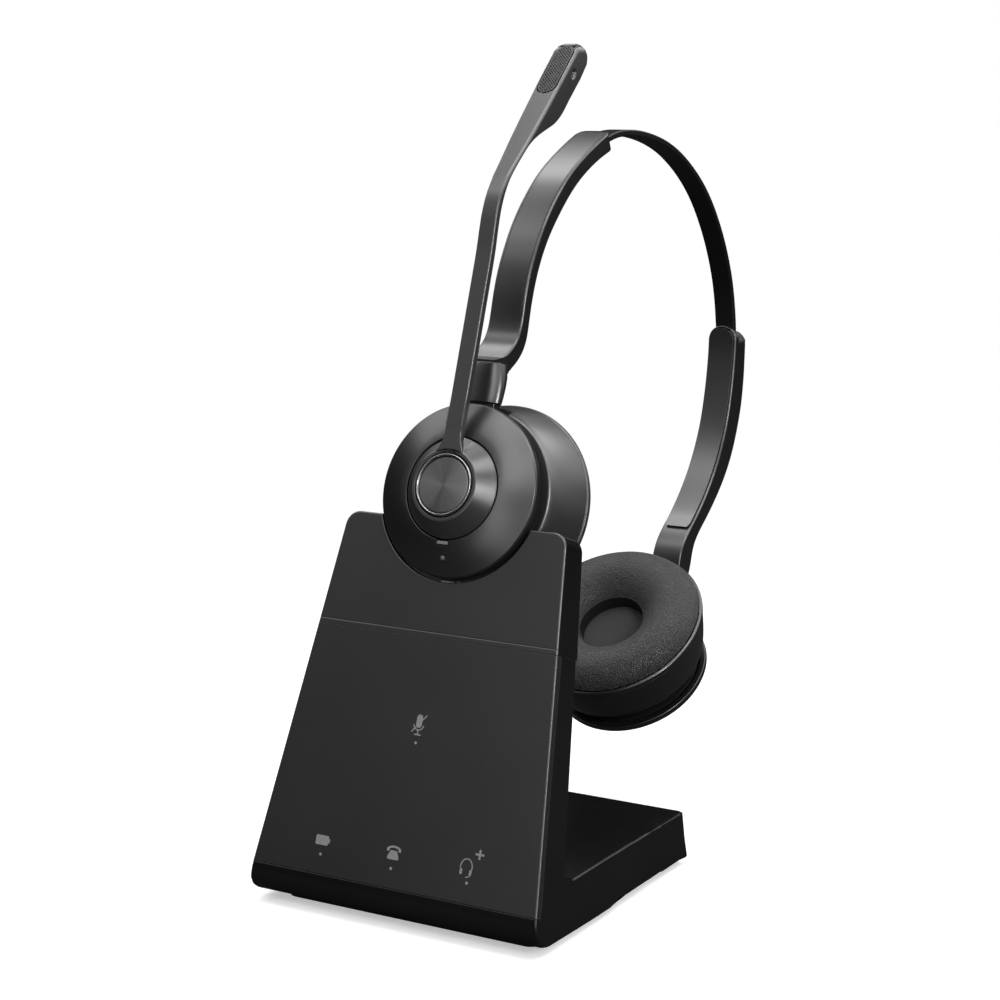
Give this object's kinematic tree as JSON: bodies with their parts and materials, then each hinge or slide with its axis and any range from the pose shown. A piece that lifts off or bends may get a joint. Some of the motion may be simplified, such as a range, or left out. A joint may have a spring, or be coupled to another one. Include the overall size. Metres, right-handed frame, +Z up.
{
  "type": "office headset with charging stand",
  "caption": "Stereo wireless office headset with a swinging microphone boom, docked in a leaning desk charging stand with a weighted base.",
  "frame": {"origin": "centre of the underside of the stand's rubber foot, on the desk", "axes": "+Z up, +X to the right of the stand's face, +Y to the back; the stand's face looks towards -Y and leans back"},
  "size_m": [0.0944, 0.2124, 0.2414],
  "materials": {
    "gloss_housing": "glossy black moulded plastic",
    "satin_panel": "satin dark grey plastic",
    "satin_black": "satin black plastic with a fine spark texture",
    "matte_black": "matte black plastic",
    "boom_grey": "matte dark grey plastic",
    "grille_black": "matte plastic grille with small perforations",
    "spring_black": "black coated spring steel",
    "leatherette": "soft black leatherette with fine grain",
    "speaker_fabric": "dark grey acoustic cloth",
    "button_metal": "dark spun metal",
    "bright_trim": "bright chrome trim",
    "screw_steel": "zinc plated steel",
    "ballast_metal": "raw steel weight",
    "socket_metal": "nickel plated shell",
    "driver_metal": "stamped metal can",
    "contact_gold": "gold plated contact",
    "circuit_board": "green solder mask",
    "battery_foil": "foil pouch",
    "lens_clear": "small clear light pipe",
    "foot_rubber": "matte black rubber"
  },
  "bodies": {
    "stand": {"stand_housing": "gloss_housing", "touch_panel": "satin_panel", "cradle_head": "satin_panel", "cradle_screw_1": "screw_steel", "cradle_screw_2": "screw_steel", "touch_board": "circuit_board", "ballast_plate": "ballast_metal", "main_board": "circuit_board", "usb_socket": "socket_metal", "phone_socket": "matte_black", "power_socket": "matte_black", "bottom_cover": "matte_black", "base_screw_1": "screw_steel", "base_screw_2": "screw_steel", "base_screw_3": "screw_steel", "base_screw_4": "screw_steel", "rubber_foot": "foot_rubber"},
    "charge_contacts": {"charge_contact_bar": "contact_gold", "charge_contact_dot": "contact_gold"},
    "earcup_front": {"front_outer_disc": "satin_black", "front_cup_core": "matte_black", "front_yoke_pin": "screw_steel", "front_cup_shell": "satin_black", "front_baffle": "matte_black", "front_baffle_screw_1": "screw_steel", "front_baffle_screw_2": "screw_steel", "front_speaker_driver": "driver_metal", "front_speaker_cloth": "speaker_fabric", "front_ear_cushion": "leatherette", "battery": "battery_foil", "headset_board": "circuit_board", "call_switch": "driver_metal", "status_light_lens": "lens_clear", "indicator_lens": "lens_clear"},
    "call_button": {"call_button_cap": "button_metal", "call_button_trim": "bright_trim"},
    "volume_rocker": {"volume_rocker_key": "matte_black"},
    "boom": {"boom_arm": "boom_grey", "microphone_grille": "grille_black", "microphone_capsule": "driver_metal"},
    "headband": {"headband_shell": "satin_black", "headband_inner_cover": "matte_black", "spring_band": "spring_black"},
    "slider": {"slider_arm": "satin_black", "slider_inner_cover": "matte_black"},
    "earcup_rear": {"rear_outer_disc": "satin_black", "rear_cup_core": "matte_black", "rear_yoke_pin": "screw_steel", "rear_cup_shell": "satin_black", "rear_baffle": "matte_black", "rear_baffle_screw_1": "screw_steel", "rear_baffle_screw_2": "screw_steel", "rear_speaker_driver": "driver_metal", "rear_speaker_cloth": "speaker_fabric", "rear_ear_cushion": "leatherette"}
  },
  "joints": [
    {"name": "dock_lift", "type": "slide", "parent": "stand", "child": "earcup_front", "axis": [0, 0.3342, 0.9425], "range_m": [0, 0.15]},
    {"name": "contact_press", "type": "slide", "parent": "stand", "child": "charge_contacts", "axis": [0, -0.3342, -0.9425], "range_m": [0, 0.0004], "stiffness_N_per_m": 600},
    {"name": "call_button_press", "type": "slide", "parent": "earcup_front", "child": "call_button", "axis": [0, 0.9425, -0.3342], "range_m": [0, 0.0004], "stiffness_N_per_m": 900},
    {"name": "volume_rock", "type": "hinge", "parent": "earcup_front", "child": "volume_rocker", "pos_m": [-0.0264, -0.00038, 0.11297], "axis": [0, -0.9425, 0.3342], "range_deg": [-4, 4], "stiffness_Nm_per_rad": 0.05},
    {"name": "boom_swing", "type": "hinge", "parent": "earcup_front", "child": "boom", "pos_m": [0, -0.01357, 0.11765], "axis": [0, -0.9425, 0.3342], "range_deg": [-135, 135]},
    {"name": "headband_tilt", "type": "hinge", "parent": "earcup_front", "child": "headband", "pos_m": [0, -0.00246, 0.13599], "axis": [1, 0, 0], "range_deg": [-4, 8]},
    {"name": "arm_slide", "type": "slide", "parent": "headband", "child": "slider", "axis": [0, 0, -1], "range_m": [0, 0.018]},
    {"name": "rear_cup_tilt", "type": "hinge", "parent": "slider", "child": "earcup_rear", "pos_m": [0, 0.1052, 0.05936], "axis": [1, 0, 0], "range_deg": [-8, 8]}
  ]
}
